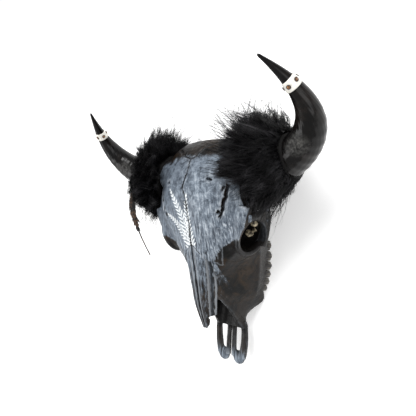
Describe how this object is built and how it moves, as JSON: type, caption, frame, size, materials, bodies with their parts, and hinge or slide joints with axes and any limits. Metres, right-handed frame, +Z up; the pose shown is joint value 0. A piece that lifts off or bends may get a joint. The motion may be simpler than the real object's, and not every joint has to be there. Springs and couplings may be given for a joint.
{
  "type": "cow skull",
  "caption": "Life-size cow skull without lower jaw, painted grey-black, with black upturned horns, fur wraps, studded bands and a hanging feather.",
  "frame": {"origin": "on the floor under the middle of the box round the whole part", "axes": "+Z up, the nose points towards -Y, the animal's left side is towards +X; the skull rests palate down on its teeth and the processes behind them"},
  "size_m": [0.5842, 0.5551, 0.3203],
  "materials": {
    "painted_bone": "bone with worn blue-grey and charcoal paint, satin",
    "horn": "black horn, semi-gloss, browner towards the root",
    "fur": "long black fur",
    "band": "white leather band with small dark amber studs",
    "feather": "dark brown feather with a bare dark quill"
  },
  "bodies": {
    "root": {"cranium": "painted_bone", "upper_jaw": "painted_bone", "nasal_left": "painted_bone", "nasal_right": "painted_bone", "premaxilla_left": "painted_bone", "premaxilla_right": "painted_bone", "horn_left": "horn", "horn_right": "horn", "fur_left": "fur", "fur_right": "fur", "band_left": "band", "band_right": "band", "feather_right": "feather"}
  },
  "joints": []
}
